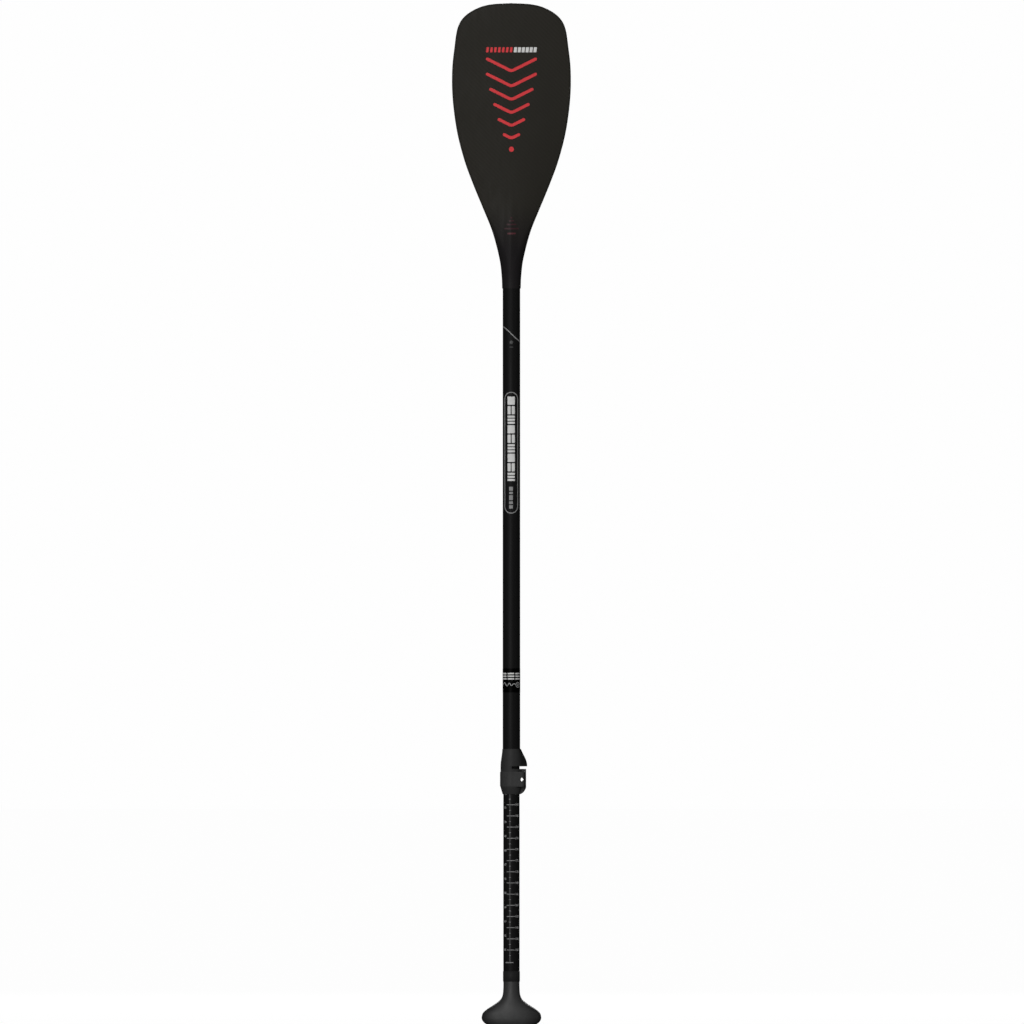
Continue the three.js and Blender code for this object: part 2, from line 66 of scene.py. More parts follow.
# ---- Sizes, in millimetres ----
NECK_BOTTOM = low("blade_front_skin").z
BLADE_TIP = high("blade_edge_rail").z
RAIL_START = low("blade_edge_rail").z
SHAFT_BOTTOM, SHAFT_TOP, SHAFT_R = low("shaft_tube").z, high("shaft_tube").z, high("shaft_tube").x
SHAFT_WALL = 0.75
LABEL_LOW, LABEL_HIGH = low("shaft_label").z, high("shaft_label").z
EXT_LOW, EXT_HIGH, EXT_R = low("extension_tube").z, high("extension_tube").z, high("extension_tube").x
EXT_WALL = 0.9
COLLAR_LOW, COLLAR_HIGH = low("clamp_collar").z, high("clamp_collar").z
COLLAR_R = -low("clamp_collar").x
EAR_BACK = 8.5
EAR_FRONT = -6.5
LEVER_LOW, LEVER_HIGH = low("cam_lever").z, high("cam_lever").z
LEVER_R = 20.4
LEVER_INNER_R = 18.8
LEVER_TIP_ANGLE = 172
CAM_OPEN_R, CAM_CLOSED_R = 5.2, 6.6
GRIP_HIGH = high("grip_cover").z
SLEEVE_LOW, SLEEVE_HIGH = low("grip_joint_sleeve").z, high("grip_joint_sleeve").z
SLEEVE_R = high("grip_joint_sleeve").x
PIVOT = Vector(next(j for j in frame["joints"] if j["name"] == "lever_hinge")["pos_m"]) / MM
BOLT_Z = (low("clamp_bolt").z + high("clamp_bolt").z) / 2
BOLT_FRONT, BOLT_BACK = low("clamp_bolt").y, high("clamp_bolt").y
SHANK_R = 2.0
HEAD_R = (high("clamp_bolt").z - low("clamp_bolt").z) / 2
HEAD_BACK = -15.1
LEVER_RANGE = 110
BARREL_R = (high("cam_barrel").x - low("cam_barrel").x) / 2
WASHER_R = 4.8
BOLT_AT = (PIVOT.x, 0)
SLIT_LOW, SLIT_HIGH = 462.0, 466.6

# The picture is a little taller than the paddle and leaves out the last of the grip's end.
PICTURE_HEIGHT = 1833
PICTURE_BOTTOM = 5.4
PICTURE_CENTRE_X = 1.0
FOCAL_LENGTH, SENSOR = 1600, 36


# ---- Camera, floor and light ----
def add_camera():
    data = bpy.data.cameras.new("camera")
    data.lens, data.sensor_width = FOCAL_LENGTH, SENSOR
    camera = bpy.data.objects.new("camera", data)
    bpy.context.scene.collection.objects.link(camera)
    distance = PICTURE_HEIGHT * MM * FOCAL_LENGTH / SENSOR
    data.clip_end = distance * 10
    centre_z = (PICTURE_BOTTOM + PICTURE_HEIGHT / 2) * MM
    camera.location = (PICTURE_CENTRE_X * MM, -distance, centre_z)
    camera.rotation_euler = (math.pi / 2, 0, 0)
    bpy.context.scene.camera = camera


def add_softbox(name, location, width, height, power, aim=(0, 0, 0.95)):
    data = bpy.data.lights.new(name, "AREA")
    data.shape = "RECTANGLE"
    data.size, data.size_y = width, height
    data.energy = power
    light = bpy.data.objects.new(name, data)
    bpy.context.scene.collection.objects.link(light)
    light.location = location
    light.rotation_mode = "QUATERNION"
    light.rotation_quaternion = (Vector(aim) - Vector(location)).to_track_quat("-Z", "Y")
    light.visible_camera = False


def add_world(backdrop=0.991, fill=0.05):
    """White behind the object, with only a dim fill for what it lights."""
    world = bpy.data.worlds.new("studio")
    bpy.context.scene.world = world
    world.use_nodes = True
    tree = world.node_tree
    tree.nodes.clear()
    mix = tree.nodes.new("ShaderNodeMixShader")
    path = tree.nodes.new("ShaderNodeLightPath")
    tree.links.new(path.outputs["Is Camera Ray"], mix.inputs["Fac"])
    for socket, level in ((1, fill), (2, backdrop)):
        shade = tree.nodes.new("ShaderNodeBackground")
        shade.inputs["Color"].default_value = (*grey(level), 1)
        tree.links.new(shade.outputs[0], mix.inputs[socket])
    output = tree.nodes.new("ShaderNodeOutputWorld")
    tree.links.new(mix.outputs[0], output.inputs["Surface"])


def add_floor(half=60, drop=0.5):
    """A plain pale floor that glows almost as white as the backdrop and takes a faint shadow."""
    corners = [(-half, -half, 0), (half, -half, 0), (half, half, 0), (-half, half, 0)]
    mesh = bpy.data.meshes.new("floor")
    mesh.from_pydata(corners, [], [(0, 1, 2, 3)])
    floor = bpy.data.objects.new("floor", mesh)
    floor.location.z = -drop * MM
    bpy.context.scene.collection.objects.link(floor)
    floor.visible_diffuse = False
    floor.visible_glossy = False
    material = bpy.data.materials.new("floor")
    material.use_nodes = True
    shader = material.node_tree.nodes["Principled BSDF"]
    shader.inputs["Base Color"].default_value = (*grey(0.015), 1)
    shader.inputs["Roughness"].default_value = 1.0
    shader.inputs["Specular IOR Level"].default_value = 0.0
    shader.inputs["Emission Color"].default_value = (1, 1, 1, 1)
    shader.inputs["Emission Strength"].default_value = 0.984
    mesh.materials.append(material)


def add_studio():
    add_camera()
    add_world()
    add_floor()
    add_softbox("key", (-1.3, -4.8, 1.3), 2.6, 3.6, 195)
    add_softbox("fill_right", (4.5, -3.0, 2.2), 1.6, 2.6, 18)
    add_softbox("back", (0.3, 5.0, 3.0), 3.0, 2.4, 320)
    bpy.context.scene.view_settings.view_transform = "Standard"
    bpy.context.scene.view_settings.look = "None"


# ---- Materials ----
def grey(level):
    return (level, level, level)


def shade(colour, share):
    """The colour made darker or lighter."""
    return tuple(c * share for c in colour)


class Finish:
    """A Principled material with helpers for the procedural detail that feeds it. Scales are in metres."""

    def __init__(self, name, colour, roughness, metallic=0.0, specular=0.2):
        self.material = bpy.data.materials.new(name)
        self.material.use_nodes = True
        self.nodes = self.material.node_tree.nodes
        self.links = self.material.node_tree.links
        self.shader = self.nodes["Principled BSDF"]
        self.shader.inputs["Base Color"].default_value = (*colour, 1)
        self.shader.inputs["Roughness"].default_value = roughness
        self.shader.inputs["Metallic"].default_value = metallic
        self.shader.inputs["Specular IOR Level"].default_value = specular
        self.place = self.nodes.new("ShaderNodeTexCoord").outputs["Object"]

    def math(self, operation, *values):
        node = self.nodes.new("ShaderNodeMath")
        node.operation = operation
        for socket, value in zip(node.inputs, values):
            if isinstance(value, bpy.types.NodeSocket):
                self.links.new(value, socket)
            else:
                socket.default_value = value
        return node.outputs[0]

    def axes(self):
        split = self.nodes.new("ShaderNodeSeparateXYZ")
        self.links.new(self.place, split.inputs[0])
        return split.outputs["X"], split.outputs["Y"], split.outputs["Z"]

    def noise(self, scale, detail, stretch=(1, 1, 1)):
        mapping = self.nodes.new("ShaderNodeMapping")
        mapping.inputs["Scale"].default_value = stretch
        self.links.new(self.place, mapping.inputs["Vector"])
        node = self.nodes.new("ShaderNodeTexNoise")
        node.inputs["Scale"].default_value = scale
        node.inputs["Detail"].default_value = detail
        self.links.new(mapping.outputs[0], node.inputs["Vector"])
        return node.outputs["Fac"]

    def cells(self, scale):
        node = self.nodes.new("ShaderNodeTexVoronoi")
        node.inputs["Scale"].default_value = scale
        self.links.new(self.place, node.inputs["Vector"])
        return node.outputs["Distance"]

    def stretch(self, value, from_low, from_high, to_low, to_high):
        node = self.nodes.new("ShaderNodeMapRange")
        for name, number in zip(("From Min", "From Max", "To Min", "To Max"),
                                (from_low, from_high, to_low, to_high)):
            node.inputs[name].default_value = number
        self.links.new(value, node.inputs["Value"])
        return node.outputs[0]

    def tint(self, factor, colour, from_low, from_high):
        """Mixes the colour so far with another as the factor rises from one value to the other."""
        mix = self.nodes.new("ShaderNodeMix")
        mix.data_type = "RGBA"
        inputs = [s for s in mix.inputs if s.type == "RGBA"]
        base = self.shader.inputs["Base Color"]
        if base.is_linked:
            self.links.new(base.links[0].from_socket, inputs[0])
        else:
            inputs[0].default_value = base.default_value
        inputs[1].default_value = (*colour, 1)
        self.links.new(self.stretch(factor, from_low, from_high, 0, 1), mix.inputs[0])
        self.links.new([s for s in mix.outputs if s.type == "RGBA"][0], base)
        return self

    def rub(self, factor, smoothest, roughest):
        """Roughness that varies over the surface."""
        self.links.new(self.stretch(factor, 0.3, 0.7, smoothest, roughest), self.shader.inputs["Roughness"])
        return self

    def bump(self, height, depth, strength):
        node = self.nodes.new("ShaderNodeBump")
        node.inputs["Distance"].default_value = depth * MM
        node.inputs["Strength"].default_value = strength
        self.links.new(height, node.inputs["Height"])
        normal = self.shader.inputs["Normal"]
        if normal.is_linked:
            self.links.new(normal.links[0].from_socket, node.inputs["Normal"])
        self.links.new(node.outputs[0], normal)
        return self

    def twill(self, across, along, pitch):
        """A two-by-two twill: in each row two tows lie up and two lie down, one step on from the last."""
        column = self.math("FLOOR", self.math("DIVIDE", across, pitch * MM))
        row = self.math("FLOOR", self.math("DIVIDE", along, pitch * MM))
        step = self.math("FRACT", self.math("DIVIDE", self.math("ADD", column, row), 4.0))
        return self.math("GREATER_THAN", step, 0.49)

    def edge_wear(self, colour):
        """Lighter rubbed edges, found where the surface bends."""
        bevel = self.nodes.new("ShaderNodeNewGeometry").outputs["Pointiness"]
        worn = self.math("MULTIPLY", self.stretch(bevel, 0.51, 0.56, 0, 0.5), self.noise(140, 4))
        return self.tint(worn, colour, 0.0, 1.0)


def blade_laminate():
    """Twill under a matt coat. The warm black of the blade turns neutral and darker down the neck."""
    f = Finish("blade_laminate", (0.0252, 0.0233, 0.0190), 0.56, specular=0.05)
    x, _, z = f.axes()
    weave = f.twill(x, z, 2.0)
    f.tint(weave, (0.0286, 0.0265, 0.0217), 0.0, 1.0)
    f.tint(f.noise(6, 3), (0.0230, 0.0213, 0.0174), 0.35, 0.75)
    f.tint(z, (0.0150, 0.0135, 0.0142), (NECK_BOTTOM + 150) * MM, (NECK_BOTTOM + 70) * MM)
    f.rub(f.noise(200, 4, (1, 1, 0.05)), 0.42, 0.58)
    f.bump(weave, 0.015, 0.2).bump(f.noise(700, 2), 0.02, 0.2)
    return f.material


def rail_plastic():
    f = Finish("blade_edge", (0.0224, 0.0210, 0.0174), 0.58, specular=0.05)
    f.tint(f.noise(150, 4), (0.027, 0.0258, 0.0230), 0.55, 0.8)
    f.rub(f.noise(90, 4), 0.45, 0.62)
    f.bump(f.noise(400, 3), 0.04, 0.3)
    return f.material


def tube_carbon(name, radius, colour, light):
    """Tube laminate: fine tows seen through a satin coat, with light sanding marks along the tube."""
    f = Finish(name, colour, 0.4, specular=0.05)
    x, y, z = f.axes()
    around = f.math("MULTIPLY", f.math("ARCTAN2", y, x), radius * MM)
    weave = f.twill(around, z, 1.5)
    f.tint(weave, light, 0.0, 1.0)
    f.rub(f.noise(150, 3, (1, 1, 0.08)), 0.42, 0.54)
    f.bump(weave, 0.012, 0.2).bump(f.noise(260, 2, (1, 1, 0.05)), 0.008, 0.2)
    return f.material


def painted_shade_on_wing(f):
    """The collar's wing, above the slit: where shade is painted on the nylon by darkening its colour."""
    x, _, z = f.axes()
    return f.math("MULTIPLY", f.stretch(x, 12.5 * MM, 18.5 * MM, 0, 1),
                  f.stretch(z, (SLIT_HIGH - 1) * MM, (SLIT_HIGH + 3) * MM, 0, 1))


def painted_shade_on_tips(f):
    """The outer ends of the palm grip, where shade is painted by darkening the colour."""
    return f.stretch(f.math("ABSOLUTE", f.axes()[0]), 24 * MM, 56 * MM, 0, 1)


def moulded(name, colour, specular=0.16, painted_shade_mask=None):
    """Fibre-filled nylon out of a spark-eroded mould: a fine even grain and rubbed edges. A mask, where
    given, paints shade by darkening the colour.
    """
    f = Finish(name, colour, 0.52, specular=specular)
    f.tint(f.noise(45, 4), shade(colour, 0.84), 0.4, 0.7)
    # Painted shade: the colour is darkened where the mask rises, as on the collar's wing.
    if painted_shade_mask:
        f.tint(painted_shade_mask(f), shade(colour, 0.36), 0, 1)
    f.edge_wear(shade(colour, 2.2))
    f.rub(f.noise(260, 3), 0.46, 0.6)
    f.bump(f.cells(1400), 0.035, 0.4).bump(f.noise(500, 3), 0.03, 0.3)
    return f.material


def soft_touch(name, colour, specular=0.14, painted_shade_mask=None):
    """Rubbery overmould: matt, with a fine pebble grain and a bloom that is paler where it is handled. A
    mask, where given, paints shade by darkening the colour.
    """
    f = Finish(name, colour, 0.45, specular=specular)
    f.tint(f.noise(22, 4), shade(colour, 0.88), 0.4, 0.7)
    f.tint(f.noise(70, 5), shade(colour, 1.16), 0.6, 0.8)
    # Painted shade: the colour is darkened where the mask rises, as on the grip's outer ends.
    if painted_shade_mask:
        f.tint(painted_shade_mask(f), shade(colour, 0.36), 0, 1)
    f.rub(f.noise(80, 3), 0.50, 0.60)
    f.bump(f.cells(1000), 0.05, 0.45).bump(f.noise(300, 2), 0.04, 0.3)
    return f.material


def stainless():
    f = Finish("stainless", (0.66, 0.66, 0.65), 0.3, metallic=1.0, specular=0.5)
    f.tint(f.noise(300, 3), (0.56, 0.56, 0.55), 0.5, 0.8)
    f.rub(f.noise(500, 3, (1, 8, 1)), 0.34, 0.5)
    f.bump(f.noise(1500, 2, (1, 12, 1)), 0.008, 0.3)
    return f.material


def foam():
    f = Finish("foam", (0.72, 0.68, 0.54), 0.9)
    f.tint(f.noise(120, 3), (0.6, 0.56, 0.43), 0.4, 0.7)
    f.bump(f.cells(900), 0.3, 0.6)
    return f.material


def film(name, colour, smoothest, specular):
    """Printed or shrunk-on film: glossy, with slight waves and handling haze."""
    f = Finish(name, colour, smoothest, specular=specular)
    f.tint(f.noise(30, 3), shade(colour, 1.3), 0.5, 0.8)
    f.rub(f.noise(80, 3), smoothest, smoothest + 0.12)
    f.bump(f.noise(60, 2), 0.03, 0.15)
    return f.material


def ink(name, colour):
    """Screen-printed ink: nearly even, a little mottled, thinner where it has been rubbed."""
    f = Finish(name, colour, 0.5, specular=0.2)
    f.tint(f.noise(160, 5), shade(colour, 0.86), 0.5, 0.8)
    f.rub(f.noise(300, 2), 0.42, 0.6)
    f.bump(f.noise(900, 2), 0.01, 0.3)
    return f.material


# ---- Mesh helpers ----
def make_object(name, points, faces, weld=1e-7, outwards=True):
    """A mesh object from points in millimetres. outwards turns the faces of a closed one out."""
    mesh = bpy.data.meshes.new(name)
    mesh.from_pydata([tuple(float(c) * MM for c in p) for p in points], [], faces)
    edit = bmesh.new()
    edit.from_mesh(mesh)
    bmesh.ops.remove_doubles(edit, verts=edit.verts, dist=weld)
    if outwards:
        bmesh.ops.recalc_face_normals(edit, faces=edit.faces)
    edit.to_mesh(mesh)
    edit.free()
    piece = bpy.data.objects.new(name, mesh)
    bpy.context.scene.collection.objects.link(piece)
    return piece


def finish_piece(piece, finish, body, replaces=(), sharp=35):
    """Material, smooth shading, the body the piece moves with, and hiding the CAD parts it replaces."""
    piece.data.materials.clear()
    piece.data.materials.append(FINISHES[finish])
    piece.data.shade_smooth()
    piece.data.set_sharp_from_angle(angle=math.radians(sharp))
    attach(piece, body)
    if replaces:
        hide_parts(*replaces)
    return piece


def settle(piece):
    """Applies the modifiers."""
    bpy.context.view_layer.update()
    evaluated = piece.evaluated_get(bpy.context.evaluated_depsgraph_get())
    mesh = bpy.data.meshes.new_from_object(evaluated)
    piece.modifiers.clear()
    piece.data = mesh
    return piece


def combine(piece, others, operation):
    """Joins others to a piece or cuts them from it, and removes them."""
    for other in others:
        modifier = piece.modifiers.new("boolean", "BOOLEAN")
        modifier.operation = operation
        modifier.solver = "MANIFOLD"
        modifier.object = other
        settle(piece)
        bpy.data.objects.remove(other)
    return piece


def moulding(piece, voxel):
    """Rounds every edge slightly, as on a moulded part."""
    remesh = piece.modifiers.new("remesh", "REMESH")
    remesh.mode = "VOXEL"
    remesh.voxel_size = voxel * MM
    relax = piece.modifiers.new("relax", "SMOOTH")
    relax.factor = 0.5
    relax.iterations = 5
    thin = piece.modifiers.new("thin", "DECIMATE")
    thin.ratio = 0.35
    return settle(piece)


def thicken(piece, thickness):
    wall = piece.modifiers.new("wall", "SOLIDIFY")
    wall.thickness = thickness * MM
    wall.offset = -1
    return settle(piece)


def grid_faces(rows, columns, wrap=False):
    """Quads of points stored row by row. wrap joins the last column to the first."""
    faces = []
    for i in range(rows - 1):
        for j in range(columns if wrap else columns - 1):
            a, b = i * columns + j, i * columns + (j + 1) % columns
            faces.append((a, b, b + columns, a + columns))
    return faces


def closed_faces(rows, columns):
    """The sides and both ends of a body whose points are stored ring by ring."""
    ends = [tuple(range(columns)), tuple(range((rows - 1) * columns, rows * columns))]
    return grid_faces(rows, columns, wrap=True) + ends


def loft(name, rings):
    """A closed body through rings of points, each with the same number of them."""
    return make_object(name, [p for ring in rings for p in ring], closed_faces(len(rings), len(rings[0])))


def prism(name, outline, z0, z1):
    return loft(name, [[(x, y, z) for x, y in outline] for z in (z0, z1)])


def block(name, x0, x1, y0, y1, z0, z1):
    return prism(name, [(x0, y0), (x1, y0), (x1, y1), (x0, y1)], z0, z1)


def arc(radius, start, end, steps, centre=(0, 0)):
    """Points of an arc, with angles in degrees."""
    turns = [math.radians(start + (end - start) * i / steps) for i in range(steps + 1)]
    return [(centre[0] + radius * math.cos(t), centre[1] + radius * math.sin(t)) for t in turns]


def turned(name, profile, sides, centre=(0, 0), along_y=None):
    """A body of revolution about Z from a profile of (radius, z) that closes on itself or starts and ends
    on the axis. along_y puts its axis along Y instead, at that height, and z becomes y."""
    rings = []
    for k in range(sides):
        turn = 2 * math.pi * k / sides
        for r, z in profile:
            x, y = r * math.cos(turn), r * math.sin(turn)
            if along_y is None:
                rings.append((centre[0] + x, centre[1] + y, z))
            else:
                rings.append((centre[0] + x, z, along_y + y))
    count = len(profile)
    faces = []
    for k in range(sides):
        for j in range(count):
            a, b = k * count + j, k * count + (j + 1) % count
            following = (k + 1) % sides * count
            faces.append((a, b, following + (j + 1) % count, following + j))
    return make_object(name, rings, faces)


def cylinder(name, radius, z0, z1, sides=64, centre=(0, 0), along_y=None):
    return turned(name, [(0, z0), (radius, z0), (radius, z1), (0, z1)], sides, centre, along_y)


def rod_profile(radius, z0, z1, chamfer):
    return [(0, z0), (radius - chamfer, z0), (radius, z0 + chamfer), (radius, z1 - chamfer),
            (radius - chamfer, z1), (0, z1)]


def ring_profile(inner, outer, z0, z1, chamfer=0.2):
    return [(inner, z0), (outer - chamfer, z0), (outer, z0 + chamfer), (outer, z1 - chamfer),
            (outer - chamfer, z1), (inner, z1)]


def smooth_step(value, start, end):
    share = np.clip((value - start) / (end - start), 0, 1)
    return share * share * (3 - 2 * share)


def spline(points, shares):
    """Points and unit tangents of a uniform Catmull-Rom curve at shares from 0 to 1."""
    p = np.array(points, float)
    last = len(p) - 1
    t = np.clip(np.asarray(shares, float), 0, 1) * last
    i = np.minimum(t.astype(int), last - 1)
    w = (t - i)[:, None]
    p0, p1, p2, p3 = p[np.maximum(i - 1, 0)], p[i], p[i + 1], p[np.minimum(i + 2, last)]
    v0, v1 = (p2 - p0) / 2, (p3 - p1) / 2
    cubic, square = 2 * p1 - 2 * p2 + v0 + v1, 3 * p2 - 3 * p1 - 2 * v0 - v1
    slope = 3 * cubic * w**2 + 2 * square * w + v0
    return cubic * w**3 + square * w**2 + v0 * w + p1, slope / np.linalg.norm(slope, axis=1)[:, None]


# ---- Blade ----
NECK_R = 16.65
NECK_SWELL = 18.2
ROOT_HALF, TIP_HALF, EDGE_HALF = 6.2, 2.8, 2.1
CANT = math.radians(10)
CANT_START = NECK_BOTTOM + 13
CANT_RADIUS = 450
SCOOP = 3
SKIN = 0.9
FRONT_SEAM, BACK_SEAM = 3.4, 3.9
SEAM_HALF_GAP = 0.07
SEAM_RUN = 50  # the rail grows to its full width over this length of edge
# Half of the outline as x and height over the neck's lower end.
BLADE_OUTLINE = [
    (16.65, 0), (17.6, 23), (21.6, 54), (33.9, 101), (51.1, 144), (68.8, 187), (84.4, 230),
    (97.6, 282), (105.2, 340), (106.0, 390), (102.0, 430), (96.4, 465), (84.5, 485.5),
    (62, 500.4), (36, 507.8), (0, BLADE_TIP - NECK_BOTTOM),
]
_fine = spline(BLADE_OUTLINE, np.linspace(0, 1, 1200))[0]
OUTLINE_X, OUTLINE_Z = _fine[:, 0], NECK_BOTTOM + _fine[:, 1]


def blade_middle(z):
    """How far the middle of the blade's thickness lies from the shaft's axis: straight, bent, straight."""
    along = np.maximum(z - CANT_START, 0)
    bend = CANT_RADIUS * math.sin(CANT)
    inside = np.minimum(along, bend)
    return np.sqrt(CANT_RADIUS**2 - inside**2) - CANT_RADIUS - np.maximum(along - bend, 0) * math.tan(CANT)


def edge_distance(x, z):
    """Distance from points to the blade's outline."""
    x, z = np.abs(np.ravel(x)), np.ravel(z)
    found = np.empty(len(x))
    step = 4000
    for start in range(0, len(x), step):
        part = slice(start, start + step)
        px, pz = x[part], z[part]
        nearest = ((px[:, None] - OUTLINE_X) ** 2 + (pz[:, None] - OUTLINE_Z) ** 2).argmin(1)
        best = np.full(len(px), np.inf)
        for first in (np.maximum(nearest - 1, 0), np.minimum(nearest, len(OUTLINE_X) - 2)):
            ax, az = OUTLINE_X[first], OUTLINE_Z[first]
            bx, bz = OUTLINE_X[first + 1] - ax, OUTLINE_Z[first + 1] - az
            along = np.clip(((px - ax) * bx + (pz - az) * bz) / (bx * bx + bz * bz), 0, 1)
            best = np.minimum(best, np.hypot(px - ax - along * bx, pz - az - along * bz))
        found[part] = best
    return found


def spine(x, z):
    """The low ridge up the middle of the front face, from the neck into the blade, where it fades out."""
    height = 2.6 * smooth_step(z, NECK_BOTTOM + 5, NECK_BOTTOM + 75)
    height = height * (1 - smooth_step(z, NECK_BOTTOM + 90, NECK_BOTTOM + 175))
    reach, blunt = 13, 0.6
    return height * np.maximum(1 - np.sqrt((x + 1.5) ** 2 + blunt**2) / reach, 0)


def blade_face(x, z, side, inset=None):
    """The y of a face: side is -1 for the front and 1 for the back."""
    x, z = np.ravel(np.asarray(x, float)), np.ravel(np.asarray(z, float))
    inset = edge_distance(x, z) if inset is None else inset
    half_width = np.maximum(np.interp(z, OUTLINE_Z, OUTLINE_X), 1e-3)
    edge = NECK_R + (EDGE_HALF - NECK_R) * smooth_step(z, NECK_BOTTOM + 23, NECK_BOTTOM + 163)
    edge = np.minimum(edge, half_width)
    neck = NECK_R + (NECK_SWELL - NECK_R) * smooth_step(z, NECK_BOTTOM, SHAFT_TOP)
    root = neck + (ROOT_HALF - neck) * smooth_step(z, SHAFT_TOP, NECK_BOTTOM + 198)
    centre = root + (TIP_HALF - root) * smooth_step(z, NECK_BOTTOM + 178, BLADE_TIP)
    rounded = edge * np.sqrt(1 - (1 - np.clip(inset / edge, 0, 1)) ** 2)
    u = np.clip(x / half_width, -1, 1)
    lens = (centre - edge) * (1 - u * u) * np.clip((BLADE_TIP - z) / 30, 0, 1)
    scoop = SCOOP * smooth_step(z, NECK_BOTTOM + 108, NECK_BOTTOM + 238) * u * u
    face = blade_middle(z) + scoop + side * (rounded + lens)
    return face - spine(x, z) if side < 0 else face


def seam_points(shares, seam):
    """Where the seam runs beside the right half of the outline, and how far inside it."""
    at, tangent = spline(BLADE_OUTLINE, shares)
    height = NECK_BOTTOM + at[:, 1]
    distance = seam * smooth_step(height, RAIL_START, RAIL_START + SEAM_RUN)
    x = at[:, 0] - distance * tangent[:, 1]
    z = height + distance * tangent[:, 0]
    x[-1], z[-1] = 0, BLADE_TIP - seam
    return np.maximum(x, 0), z, distance


def add_skin(node, seam, side):
    rows, columns = 190, 65
    shares = 1 - (1 - np.linspace(0, 1, rows)) ** 1.25
    x_end, z, seam_inset = seam_points(shares, seam + SEAM_HALF_GAP)
    lateral = np.linspace(-1, 1, columns)
    lateral = np.sign(lateral) * (1 - (1 - np.abs(lateral)) ** 1.8)
    x = x_end[:, None] * lateral[None, :]
    z = np.repeat(z[:, None], columns, 1)
    distance = edge_distance(x, z).reshape(rows, columns)
    distance[:, 0] = distance[:, -1] = seam_inset
    y = blade_face(x, z, side, distance.ravel())
    points = np.stack([x.ravel(), y, z.ravel()], 1)
    faces = grid_faces(rows, columns)
    if side > 0:
        faces = [face[::-1] for face in faces]
    piece = make_object(node, points, faces)
    turn_faces(piece, side)
    thicken(piece, SKIN)
    finish_piece(piece, "blade", "shaft", (node,), sharp=50)


def turn_faces(piece, side):
    """Turns an open sheet so that its faces look along Y to the side given."""
    edit = bmesh.new()
    edit.from_mesh(piece.data)
    if sum(face.normal.y * face.calc_area() for face in edit.faces) * side < 0:
        bmesh.ops.reverse_faces(edit, faces=edit.faces)
    edit.to_mesh(piece.data)
    edit.free()


def add_rail():
    """A closed strip round the blade's edge, from the front seam over the edge to the back seam."""
    at, tangent = spline(BLADE_OUTLINE, np.linspace(0, 1, 420))
    keep = NECK_BOTTOM + at[:, 1] >= RAIL_START + 1
    at, tangent = at[keep], tangent[keep]
    tangent[-1] = (-1, 0)
    middle = [(0.0, at[-1][1])]
    right = [tuple(p) for p in at[:-1]]
    left = [(-x, z) for x, z in reversed(right)]
    slopes = [tuple(t) for t in tangent[:-1]]
    outline = right + middle + left
    slopes = slopes + [(-1, 0)] + [(x, -z) for x, z in reversed(slopes)]
    around = 10
    share = np.linspace(0, 1, around)
    points = []
    for (x0, z0), (tx, tz) in zip(outline, slopes):
        grown = float(smooth_step(NECK_BOTTOM + z0, RAIL_START, RAIL_START + SEAM_RUN))
        front = (FRONT_SEAM - SEAM_HALF_GAP) * grown * (1 - share) ** 2
        back = (BACK_SEAM - SEAM_HALF_GAP) * grown * share[1:] ** 2
        for inset, side in [(d, -1) for d in front] + [(d, 1) for d in back]:
            x, z = x0 - inset * tz, NECK_BOTTOM + z0 + inset * tx
            points.append((x, blade_face(x, z, side, np.array([inset]))[0], z))
    piece = make_object("blade_edge_rail", points, closed_faces(len(outline), 2 * around - 1))
    finish_piece(piece, "rail", "shaft", ("blade_edge_rail",), sharp=50)


def add_core():
    """The foam between the skins, from the neck to just short of the tip."""
    side_gap, face_gap = 4.6, 1.2
    rings = []
    for z in np.linspace(low("blade_foam_core").z + 1, high("blade_foam_core").z - 2, 90):
        half = float(np.interp(z, OUTLINE_Z, OUTLINE_X)) - side_gap
        x = np.linspace(-half, half, 25)
        heights = np.full(len(x), z)
        front = blade_face(x, heights, -1) + face_gap
        back = blade_face(x, heights, 1) - face_gap
        rings.append(list(zip(x, front, heights)) + list(zip(x[::-1], back[::-1], heights)))
    core = loft("blade_foam_core", rings)
    finish_piece(core, "foam", "shaft", ("blade_foam_core",))


def add_blade():
    add_skin("blade_front_skin", FRONT_SEAM, -1)
    add_skin("blade_back_skin", BACK_SEAM, 1)
    add_rail()
    add_core()


# ---- Tubes, label and joint sleeve ----
def add_tubes():
    tube = turned("shaft_tube", ring_profile(SHAFT_R - SHAFT_WALL, SHAFT_R, SHAFT_BOTTOM, SHAFT_TOP), 160)
    finish_piece(tube, "shaft", "shaft", ("shaft_tube",))
    inner, outer, soft = SHAFT_R + 0.05, SHAFT_R + 0.17, 0.06
    label = turned("shaft_label", ring_profile(inner, outer, LABEL_LOW, LABEL_HIGH, soft), 160)
    finish_piece(label, "label", "shaft", ("shaft_label",))
    profile = ring_profile(EXT_R + 0.1, SLEEVE_R, SLEEVE_LOW, SLEEVE_HIGH, 0.35)
    sleeve = turned("grip_joint_sleeve", profile, 160)
    finish_piece(sleeve, "sleeve", "handle", ("grip_joint_sleeve",), sharp=60)
    add_extension()


def groove(angle, depth=0.6, half=6.5, flank=1.8):
    """Depth of the anti-twist groove, which runs down the back, at an angle in degrees."""
    away = abs((angle - 90 + 180) % 360 - 180)
    return depth * (1 - min(max((away - half + flank) / flank, 0), 1))


def add_extension():
    sides = 240
    rings = []
    for wall, z in ((EXT_WALL, EXT_LOW), (0, EXT_LOW), (0, EXT_HIGH), (EXT_WALL, EXT_HIGH)):
        ring = []
        for k in range(sides):
            angle = 360 * k / sides
            radius = EXT_R - wall - groove(angle)
            turn = math.radians(angle)
            ring.append((radius * math.cos(turn), radius * math.sin(turn), z))
        rings.append(ring)
    faces = grid_faces(4, sides, wrap=True)
    faces += [(3 * sides + k, 3 * sides + (k + 1) % sides, (k + 1) % sides, k) for k in range(sides)]
    piece = make_object("extension_tube", [p for ring in rings for p in ring], faces)
    finish_piece(piece, "extension", "handle", ("extension_tube",), sharp=15)


